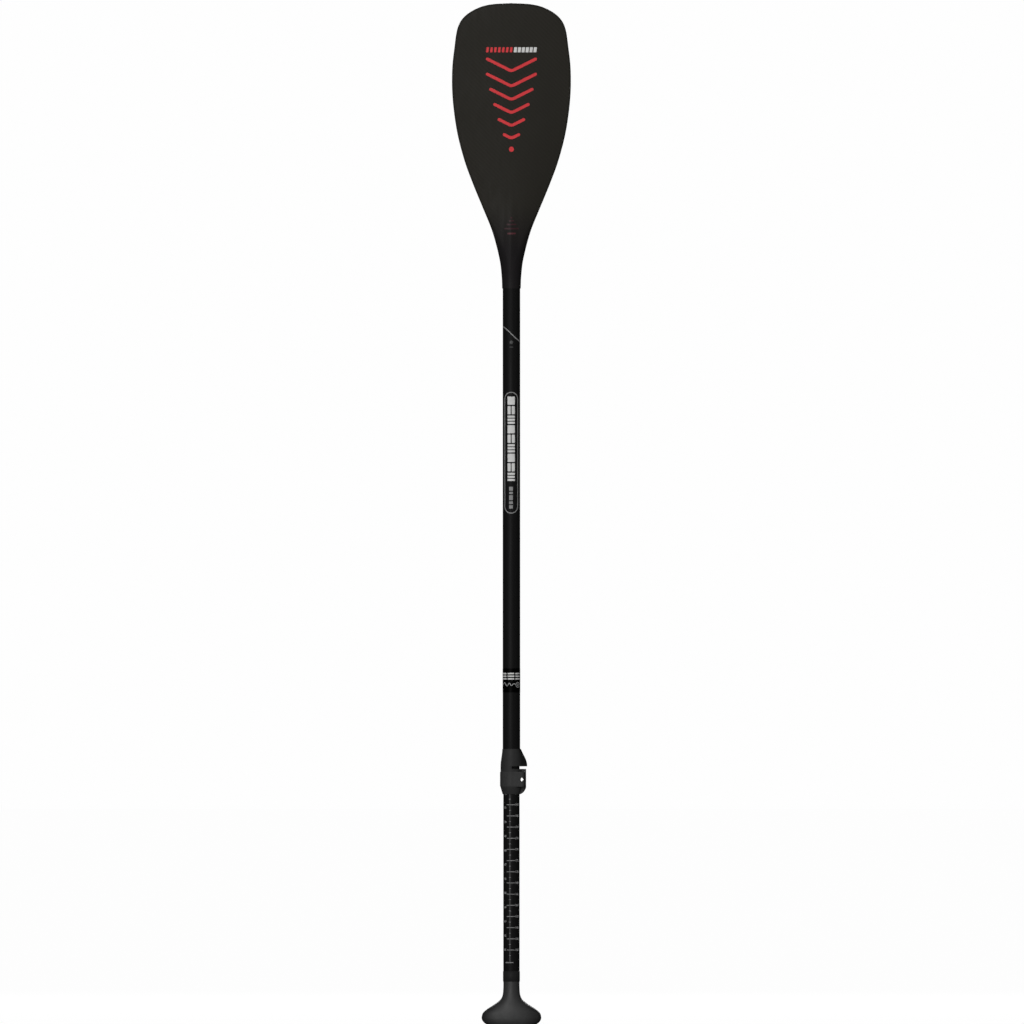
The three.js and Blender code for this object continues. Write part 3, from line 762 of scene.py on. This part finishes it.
# ---- Grip ----
GRIP_WIDTH = [
    (28, 0), (41, 3), (48.6, 7.6), (52.6, 13), (53.2, 18.5), (50.8, 25.5), (43.4, 32.2), (33.6, 38.6),
    (24.6, 44.8), (18.6, 50.6), (15.6, 58), (14.5, 70), (14.5, 87.7),
]
GRIP_DEPTH = [
    (11, 0), (15.6, 3), (18, 7.6), (19.3, 13), (19.6, 18.5), (19.4, 25.5), (18.7, 32.2), (17.8, 38.6),
    (16.8, 44.8), (15.9, 50.6), (15.0, 58), (14.5, 70), (14.5, 87.7),
]


def add_grip():
    levels, around = 130, 160
    shares = np.linspace(0, 1, levels)
    wide, deep = spline(GRIP_WIDTH, shares)[0], spline(GRIP_DEPTH, shares)[0]
    scale = GRIP_HIGH / GRIP_WIDTH[-1][1]
    points = []
    for (half_width, z), (half_depth, _) in zip(wide, deep):
        for k in range(around):
            turn = 2 * math.pi * k / around
            points.append((half_width * math.cos(turn), half_depth * math.sin(turn), z * scale))
    faces = grid_faces(levels, around, wrap=True)
    faces.append(tuple(range(around)))
    piece = make_object("grip_cover", points, faces)
    thicken(piece, 0.6)
    finish_piece(piece, "grip", "handle", ("grip_cover",), sharp=60)


# ---- Clamp ----
FAR = 30  # how far a cutter reaches past what it cuts
LEVER_ROOM = 0.4


def upper_sleeve():
    """A round sleeve drawn out on its +X side into a wing, which grows towards the slit."""
    tip_r, top_r = 5, 16.4
    reach = [(COLLAR_HIGH, 16.9), (489, 21), (480, 25.4), (472, 27.9), (SLIT_HIGH, 28.1)]
    rings = []
    for z, reach_x in spline(reach, np.linspace(1, 0, 40))[0]:
        body_r = COLLAR_R + (top_r - COLLAR_R) * float(smooth_step(z, SLIT_HIGH, COLLAR_HIGH))
        wing_x = reach_x - tip_r
        edge = math.degrees(math.acos((body_r - tip_r) / wing_x)) if wing_x > body_r - tip_r else 1
        wing = arc(tip_r, -edge, edge, 24, (wing_x, 0))
        body = arc(body_r, edge, 360 - edge, 120)
        rings.append([(x, y, z) for x, y in wing + body])
    return loft("clamp_collar", rings)


def ears():
    """The two ears in one, before the split parts them: straight sides and a rounded lower corner."""
    start_x, corner_x, ear_x, corner_top = 6, 15.5, high("clamp_collar").x - 1.9, COLLAR_LOW + 12.3
    bend = []
    for i in range(17):
        t = i / 16
        x = (1 - t) ** 2 * corner_x + 2 * t * (1 - t) * 23.5 + t * t * ear_x
        z = (1 - t) ** 2 * COLLAR_LOW + 2 * t * (1 - t) * (COLLAR_LOW + 2.8) + t * t * corner_top
        bend.append((x, z))
    outline = [(start_x, COLLAR_LOW + 6)] + bend + [(ear_x, SLIT_LOW + 1), (start_x, SLIT_LOW + 1)]
    return loft("ears", [[(x, y, z) for x, z in outline] for y in (EAR_FRONT, EAR_BACK)])


def add_collar():
    lip_top, lip_bottom_r, lip_top_r, bore_r = COLLAR_LOW + 12.5, 15.8, 19.5, 14.78
    lower = turned("lower", [(0, COLLAR_LOW), (lip_bottom_r, COLLAR_LOW), (lip_top_r, lip_top),
                             (COLLAR_R, lip_top), (COLLAR_R, SLIT_HIGH + 2), (0, SLIT_HIGH + 2)], 160)
    collar = combine(upper_sleeve(), [lower, ears()], "UNION")
    room_low, room_high = LEVER_LOW - LEVER_ROOM, LEVER_HIGH + LEVER_ROOM
    far_x = FAR * 2
    combine(collar, [
        cylinder("socket", SHAFT_R + 0.15, SHAFT_BOTTOM - 0.3, COLLAR_HIGH + FAR, 160),
        cylinder("bore", bore_r, COLLAR_LOW - FAR, SHAFT_BOTTOM + 2, 160),
        block("slit", 0.7, far_x, -FAR, FAR, SLIT_LOW, SLIT_HIGH),
        block("split", 10, far_x, -1.2, 1.2, COLLAR_LOW - FAR, SLIT_LOW + 1),
        cylinder("knuckle_room", CAM_CLOSED_R + 0.5, room_low, room_high, 96, (PIVOT.x, PIVOT.y)),
        block("pad_seat", 15.3, far_x, -FAR, EAR_FRONT, room_low, room_high),
        cylinder("bolt_hole", SHANK_R + 0.3, -FAR, FAR, centre=BOLT_AT, along_y=BOLT_Z),
        cylinder("washer_seat", WASHER_R + 0.3, EAR_BACK, FAR, centre=BOLT_AT, along_y=BOLT_Z),
    ], "DIFFERENCE")
    moulding(collar, 0.35)
    finish_piece(collar, "collar", "shaft", ("clamp_collar",), sharp=60)


def inset(outline, distance):
    """The outline drawn in by a distance."""
    p = np.array(outline)
    way = np.roll(p, -1, 0) - np.roll(p, 1, 0)
    way /= np.linalg.norm(way, axis=1)[:, None]
    area = np.sum(p[:, 0] * np.roll(p[:, 1], -1) - np.roll(p[:, 0], -1) * p[:, 1])
    inward = np.stack([-way[:, 1], way[:, 0]], 1) * np.sign(area)
    return [tuple(q) for q in p + inward * distance]


def add_lever():
    knuckle = []
    for degrees in np.linspace(-95, 176, 90):
        radius = CAM_OPEN_R + (CAM_CLOSED_R - CAM_OPEN_R) * float(smooth_step(degrees, 10, 85))
        knuckle += arc(radius, degrees, degrees, 1, (PIVOT.x, PIVOT.y))[:1]
    outer, inner = arc(LEVER_R, LEVER_TIP_ANGLE, 278, 90), arc(LEVER_INNER_R, 308, LEVER_TIP_ANGLE, 100)
    outline = outer + knuckle + inner
    chamfered = inset(outline, 0.5)
    sections = ((chamfered, LEVER_LOW), (outline, LEVER_LOW + 2), (outline, LEVER_HIGH - 2),
                (chamfered, LEVER_HIGH))
    lever = loft("cam_lever", [[(x, y, z) for x, y in section] for section, z in sections])
    half, reach, window_r, last = SHANK_R + 0.4, 9, 3.4, math.radians(90 - LEVER_RANGE)
    far_corner = (reach, reach * math.tan(last) - half / math.cos(last))
    near_corner = (half * math.sin(last), -half * math.cos(last))
    way = [(-half, 0), (-half, reach), (reach, reach), far_corner, near_corner]
    way = [(PIVOT.x + x, PIVOT.y + y) for x, y in way]
    combine(lever, [
        cylinder("barrel_hole", BARREL_R + 0.08, LEVER_LOW - FAR, LEVER_HIGH + FAR, 96, (PIVOT.x, PIVOT.y)),
        cylinder("window", window_r, -FAR, PIVOT.y, centre=BOLT_AT, along_y=BOLT_Z),
        prism("bolt_way", way[::-1], BOLT_Z - half, BOLT_Z + half),
    ], "DIFFERENCE")
    moulding(lever, 0.25)
    finish_piece(lever, "lever", "lever", ("cam_lever",), sharp=60)


def add_nut():
    """A hexagon nut with a domed cap and a blind hole."""
    front = low("clamp_nut").y
    back, dome_r, flatness = front + 3.2, 3.4, 0.735
    corners = arc(4.0, 0, 300, 5)
    nut = loft("clamp_nut", [[(PIVOT.x + x, y, BOLT_Z + z) for x, z in corners] for y in (front, back)])
    base = back - 0.1
    profile = [(0, base)] + [(r, base + h * flatness) for r, h in arc(dome_r, 0, 90, 16)]
    combine(nut, [turned("dome", profile, 64, BOLT_AT, BOLT_Z)], "UNION")
    thread = cylinder("thread", SHANK_R + 0.15, 0, BOLT_BACK + 0.3, centre=BOLT_AT, along_y=BOLT_Z)
    return combine(nut, [thread], "DIFFERENCE")


def add_hardware():
    barrel = turned("cam_barrel", rod_profile(BARREL_R, low("cam_barrel").z, high("cam_barrel").z, 0.4), 96,
                    (PIVOT.x, PIVOT.y))
    seat = HEAD_BACK + 0.1
    wide, narrow = HEAD_R + 0.1, SHANK_R + 0.15
    bore = [(0, -FAR), (wide, -FAR), (wide, seat), (narrow, seat), (narrow, 0), (0, 0)]
    combine(barrel, [turned("barrel_bore", bore, 64, BOLT_AT, BOLT_Z)], "DIFFERENCE")
    bolt = turned("clamp_bolt", [
        (0, BOLT_FRONT), (HEAD_R - 0.3, BOLT_FRONT), (HEAD_R, BOLT_FRONT + 0.3), (HEAD_R, HEAD_BACK),
        (SHANK_R, HEAD_BACK), (SHANK_R, BOLT_BACK - 0.35), (SHANK_R - 0.35, BOLT_BACK), (0, BOLT_BACK),
    ], 64, BOLT_AT, BOLT_Z)
    profile = ring_profile(SHANK_R + 0.3, WASHER_R, low("clamp_washer").y, high("clamp_washer").y, 0.15)
    washer = turned("clamp_washer", profile, 96, BOLT_AT, BOLT_Z)
    for piece, node in ((barrel, "cam_barrel"), (bolt, "clamp_bolt"), (washer, "clamp_washer"),
                        (add_nut(), "clamp_nut")):
        finish_piece(piece, "steel", "shaft", (node,), sharp=25)


# ---- Printed marks: thin ink meshes that lie on a surface ----
LONGEST_STEP = 1.2  # across a bar, so that it follows the surface


def on_tube(radius):
    """Maps (distance round the tube from its front, height) to the tube's surface."""
    def place(u, v, lift):
        turn = u / radius
        return ((radius + lift) * math.sin(turn), -(radius + lift) * math.cos(turn), v)
    return place


def on_blade(u, v, lift):
    return (u, float(blade_face(u, v, -1)[0]) - lift, v)


class Print:
    """Shapes of one ink, laid on a surface."""

    def __init__(self, place, lift=0.1):
        self.place, self.lift = place, lift
        self.points, self.faces = [], []

    def strip(self, lower, upper):
        """Fills between two lines of points. Seen from the front, upper is on the left of lower's way."""
        first = len(self.points)
        for line in (lower, upper):
            self.points += [self.place(u, v, self.lift) for u, v in line]
        count = len(lower)
        for i in range(count - 1):
            a, b = first + i, first + i + 1
            self.faces.append((a, b, b + count, a + count))
        return self

    def bar(self, u0, u1, v0, v1, corner=0.0, lean=0.0):
        """An upright bar with rounded corners. lean pushes its top sideways."""
        steps = max(int((u1 - u0) / LONGEST_STEP), 2)
        us = set(np.linspace(u0, u1, steps + 1))
        if corner:
            for i in range(5):
                bite = corner * (1 - math.cos(math.pi / 2 * i / 4))
                us |= {u0 + bite, u1 - bite}
        rows = []
        for u in sorted(us):
            near = min(u - u0, u1 - u)
            cut = corner - math.sqrt(max(corner**2 - (corner - min(near, corner)) ** 2, 0)) if corner else 0
            rows.append((u, v0 + cut, v1 - cut))
        return self.strip([(u, a) for u, a, _ in rows], [(u + lean, b) for u, _, b in rows])

    def disc(self, u, v, radius):
        self.bar(u - radius, u + radius, v - radius, v + radius, radius)

    def stroke(self, points, width, closed=False):
        """A line of even width through the points, with round ends."""
        p = np.array(points, float)
        ahead = np.roll(p, -1, 0) - p
        behind = p - np.roll(p, 1, 0)
        if not closed:
            ahead[-1], behind[0] = behind[-1], ahead[0]
        ahead /= np.linalg.norm(ahead, axis=1)[:, None]
        behind /= np.linalg.norm(behind, axis=1)[:, None]
        mean = ahead + behind
        mean /= np.linalg.norm(mean, axis=1)[:, None]
        normal = np.stack([-mean[:, 1], mean[:, 0]], 1)
        spread = width / 2 / np.maximum((mean * ahead).sum(1), 0.4)
        left, right = p + normal * spread[:, None], p - normal * spread[:, None]
        if closed:
            left, right = np.vstack([left, left[:1]]), np.vstack([right, right[:1]])
        else:
            left, right = self.capped(left, right, p, ahead, width)
        self.strip(right.tolist(), left.tolist())

    @staticmethod
    def capped(left, right, p, ahead, width):
        """Adds half-round ends to a stroke's two sides."""
        start, end = [], []
        for i in range(4, 0, -1):
            turn = math.pi / 2 * i / 4
            back, side = width / 2 * math.sin(turn), width / 2 * math.cos(turn)
            for ends, at, way, sign in ((start, p[0], ahead[0], -1), (end, p[-1], ahead[-1], 1)):
                centre = at + way * sign * back
                across = np.array((-way[1], way[0])) * side
                ends.append((centre + across, centre - across))
        end.reverse()
        left = np.vstack([[a for a, _ in start], left, [a for a, _ in end]])
        right = np.vstack([[b for _, b in start], right, [b for _, b in end]])
        return left, right

    def finish(self, name, finish, body):
        piece = make_object(name, self.points, self.faces, 1e-6, outwards=False)
        thicken(piece, self.lift * 0.8)
        finish_piece(piece, finish, body, sharp=60)


def resample(points, step):
    """Points every step along a line, so that it follows a curved surface."""
    p = np.array(points, float)
    length = np.concatenate([[0], np.cumsum(np.linalg.norm(np.diff(p, axis=0), axis=1))])
    count = max(int(length[-1] / step), 1)
    at = np.linspace(0, length[-1], count + 1)
    return np.stack([np.interp(at, length, p[:, 0]), np.interp(at, length, p[:, 1])], 1)


def rounded_path(points, radius, step=1.5):
    """A line through the points whose corners are rounded."""
    path = [points[0]]
    for before, corner, after in zip(points, points[1:], points[2:]):
        b, c, a = (np.array(q, float) for q in (before, corner, after))
        enter = c + (b - c) / np.linalg.norm(b - c) * radius
        leave = c + (a - c) / np.linalg.norm(a - c) * radius
        for i in range(9):
            t = i / 8
            path.append(tuple((1 - t) ** 2 * enter + 2 * t * (1 - t) * c + t * t * leave))
    path.append(points[-1])
    return resample(path, step)


def round_tube(radius, x):
    """Distance round a tube to a point that is x from its middle as seen from the front."""
    return radius * math.asin(max(-1, min(1, x / radius)))


def add_blade_prints():
    """A row of leaning blocks, under it a stack of chevrons, and short dashes on the neck."""
    row_low, row_high, row_left, block_pitch, blocks, red_blocks = 1744.0, 1753.2, -45.4, 7.05, 13, 7
    red, white = Print(on_blade), Print(on_blade)
    for i in range(blocks):
        u = row_left + i * block_pitch
        ink_used, wide = (red, 4.2) if i < red_blocks else (white, 5.4)
        ink_used.bar(u, u + wide, row_low, row_high, 0.8, lean=1.0)
    stroke, chevron_pitch, highest, slope = 5.4, 27, 1732, 0.5
    for i, half_width in enumerate((43, 43, 37, 30, 22, 13)):
        top = highest - i * chevron_pitch
        vee = [(-half_width, top), (0, top - slope * half_width), (half_width, top)]
        red.stroke(rounded_path(vee, 5), stroke)
    red.disc(0, 1571, 4.6)
    red.finish("print_blade_red", "red_ink", "shaft")
    white.finish("print_blade_white", "white_ink", "shaft")
    marks = Print(on_blade)
    for z, half in ((1448.5, 2), (1443, 4.5), (1436.5, 9), (1429, 13)):
        marks.bar(-half, half, z - 1.4, z + 1.4, 1.2)
    marks.finish("print_neck_marks", "dark_red_ink", "shaft")
    bright = Print(on_blade)
    bright.bar(-7.2, 7.6, 1418.6, 1421.8, 1.4)
    bright.finish("print_neck_dash", "red_ink_dull", "shaft")


def add_shaft_prints():
    tube = on_tube(SHAFT_R)
    lines, soft, white = Print(tube), Print(tube), Print(tube)
    sweep = []
    for i in range(41):
        t = i / 40
        x = -14.9 + 29.9 * t
        z = 1254 - 27 * t + 0.5 * math.sin(2 * math.pi * t)
        sweep.append((round_tube(SHAFT_R, x), z))
    lines.stroke(sweep, 1.9)
    soft.disc(-0.2, 1225.6, 3.2)
    soft.bar(-3.6, 3.4, 1216.5, 1217.6, 0.5)

    left, right = round_tube(SHAFT_R, -11.8), round_tube(SHAFT_R, 11.1)
    radius, middle = (right - left) / 2, (right + left) / 2
    top, bottom = 1136 - radius, 920 + radius
    pill = [(middle + x, top + z) for x, z in arc(radius, 0, 180, 32)]
    pill += [(middle + x, bottom + z) for x, z in arc(radius, 180, 360, 32)]
    lines.stroke(pill, 1.8, closed=True)

    block_tall, pitch, highest, blocks = 14.8, 17.05, 1128.6, 9
    block_left, block_right, slot = -7.2, 6.2, 1.6
    third = (block_tall - 2 * slot) / 3
    for i in range(blocks):
        z1 = highest - i * pitch
        z0 = z1 - block_tall
        if i % 3 == 0:
            white.bar(block_left, block_right, z0, z1, 1.2)
        elif i % 3 == 1:
            white.bar(block_left, -1.4, z0, z1, 1.0).bar(0.4, block_right, z0, z1, 1.0)
        else:
            for k in range(3):
                lowest = z0 + k * (third + slot)
                white.bar(block_left, block_right, lowest, lowest + third, 0.9)
    z1 = 967
    for length in (7, 4, 9, 5, 6):
        lines.bar(-4.2, 2.6, z1 - length, z1, 0.8)
        z1 -= length + 2
    lines.finish("print_shaft_grey", "grey_ink", "shaft")
    soft.finish("print_shaft_dot", "soft_grey_ink", "shaft")
    white.finish("print_shaft_blocks", "white_ink", "shaft")


def add_label_prints():
    radius = SHAFT_R + 0.17
    tube = on_tube(radius)
    white, lines = Print(tube, 0.08), Print(tube, 0.08)
    for x0, x1 in ((-15.3, -8.8), (-6.9, 5.1), (7.0, 15.3)):
        u0, u1 = round_tube(radius, x0), round_tube(radius, x1)
        for z0, z1 in ((622.0, 624.6), (626.8, 629.2), (631.4, 634.0)):
            white.bar(u0, u1, z0, z1, 0.5)
    wave_z, ring_z, ring_x = 613.2, 612.7, 11.3
    wave = []
    for i in range(61):
        t = i / 60
        swing = 3.4 * math.sin(t * 5 * math.pi) * (1 - 0.55 * t)
        wave.append((round_tube(radius, -14 + 20.5 * t), wave_z + swing))
    lines.stroke(wave, 1.1)
    centre = round_tube(radius, ring_x)
    for ring_r, end, steps, width in ((4.4, 354, 40, 1.0), (1.7, 345, 20, 0.9)):
        lines.stroke([(centre + x, ring_z + z) for x, z in arc(ring_r, 0, end, steps)], width, closed=True)
    white.finish("print_label_bars", "white_ink", "shaft")
    lines.finish("print_label_line", "pale_grey_ink", "shaft")


# The scale's two rows: ticks each 2 cm with the paddle's length in centimetres, and inches on the left.
SCALE_LOW, SCALE_HIGH = 115.5, 700.0
SCALE_SPINE_X = -2.8
FIRST_TICK, FIRST_TICK_CM, TICK_PITCH = 138.0, 156, 20
FIRST_INCH, FIRST_INCH_MARK, INCH = 138.4, 61, 25.4
DIGIT_HEIGHT = 3.8


def write(target, text, u, v):
    """Plain figures laid on the target's surface, centred on (u, v)."""
    curve = bpy.data.curves.new("figure", "FONT")
    curve.body = text
    curve.size = DIGIT_HEIGHT / 0.7
    curve.offset = 0.12
    curve.align_x, curve.align_y = "CENTER", "CENTER"
    figure = bpy.data.objects.new("figure", curve)
    bpy.context.scene.collection.objects.link(figure)
    bpy.context.view_layer.update()
    mesh = bpy.data.meshes.new_from_object(figure.evaluated_get(bpy.context.evaluated_depsgraph_get()))
    first = len(target.points)
    target.points += [target.place(u + p.co.x, v + p.co.y, target.lift) for p in mesh.vertices]
    target.faces += [tuple(first + i for i in face.vertices) for face in mesh.polygons]
    bpy.data.objects.remove(figure)
    bpy.data.meshes.remove(mesh)


def add_scale():
    tube = on_tube(EXT_R)
    bright, dim, figures = Print(tube), Print(tube), Print(tube)
    spine_u = round_tube(EXT_R, SCALE_SPINE_X)
    tick_left, tick_right = round_tube(EXT_R, -8.4), round_tube(EXT_R, 6.6)
    long_half, dot_low, dot_high, dot_half = 0.65, 9.4, 10.5, 1.7
    dim.stroke([(spine_u, z) for z in np.linspace(SCALE_LOW, SCALE_HIGH, 60)], 1.7)
    ticks = int((SCALE_HIGH - FIRST_TICK) / TICK_PITCH)
    for i in range(-1, ticks + 1):
        z = FIRST_TICK + TICK_PITCH * i
        bright.bar(spine_u - dot_half, spine_u + dot_half, z + dot_low, z + dot_high, 0.5)
        if i >= 0:
            bright.bar(tick_left, tick_right, z - long_half, z + long_half, 0.5)
            write(figures, str(FIRST_TICK_CM + 2 * i), round_tube(EXT_R, 10.0), z)
    for i in range(int((SCALE_HIGH - FIRST_INCH) / INCH) + 1):
        write(figures, str(FIRST_INCH_MARK + i), round_tube(EXT_R, -11.0), FIRST_INCH + INCH * i)
    bright.bar(round_tube(EXT_R, -10.5), round_tube(EXT_R, 3.2), SCALE_LOW - 0.9, SCALE_LOW + 0.9, 0.8)
    bright.finish("print_scale_ticks", "grey_ink", "handle")
    dim.finish("print_scale_spine", "soft_grey_ink", "handle")
    figures.finish("print_scale_figures", "pale_grey_ink", "handle")


# ---- Assembly ----
add_studio()

FINISHES = {
    "blade": blade_laminate(),
    "rail": rail_plastic(),
    "shaft": tube_carbon("shaft_carbon", SHAFT_R, grey(0.0075), grey(0.0091)),
    "extension": tube_carbon("extension_carbon", EXT_R, grey(0.0078), grey(0.0095)),
    "label": film("label_film", grey(0.0009), 0.34, 0.02),
    "sleeve": film("sleeve_film", grey(0.0190), 0.46, 0.06),
    # The collar's wing gets painted shade: its nylon is darkened there.
    "collar": moulded("clamp_nylon", grey(0.0350), 0.08, painted_shade_on_wing),
    "lever": moulded("lever_nylon", grey(0.0460), 0.08),
    "steel": stainless(),
    # The grip's outer ends get painted shade: the colour is darkened there.
    "grip": soft_touch("grip_soft", grey(0.0375), 0.36, painted_shade_on_tips),
    "foam": foam(),
    "plug": moulded("plug_nylon", grey(0.012)),
    "core": moulded("grip_core_nylon", grey(0.016)),
    "seal": soft_touch("seal_rubber", grey(0.010)),
    "red_ink": ink("red_ink", (0.74, 0.040, 0.048)),
    "red_ink_dull": ink("red_ink_dull", (0.090, 0.023, 0.029)),
    "dark_red_ink": ink("dark_red_ink", (0.038, 0.011, 0.014)),
    "white_ink": ink("white_ink", (0.72, 0.72, 0.71)),
    "grey_ink": ink("grey_ink", grey(0.27)),
    "pale_grey_ink": ink("pale_grey_ink", grey(0.40)),
    "soft_grey_ink": ink("soft_grey_ink", grey(0.068)),
}
KEPT_NODES = {
    "shaft_float_plug": "foam", "extension_end_plug": "plug", "end_plug_seal": "seal",
    "grip_core": "core", "cam_pad": "plug",
}

add_blade()
add_tubes()
add_grip()
add_collar()
add_lever()
add_hardware()
add_blade_prints()
add_shaft_prints()
add_label_prints()
add_scale()
for node, finish in KEPT_NODES.items():
    mesh = frame["nodes"][node].data
    mesh.materials.clear()
    mesh.materials.append(FINISHES[finish])
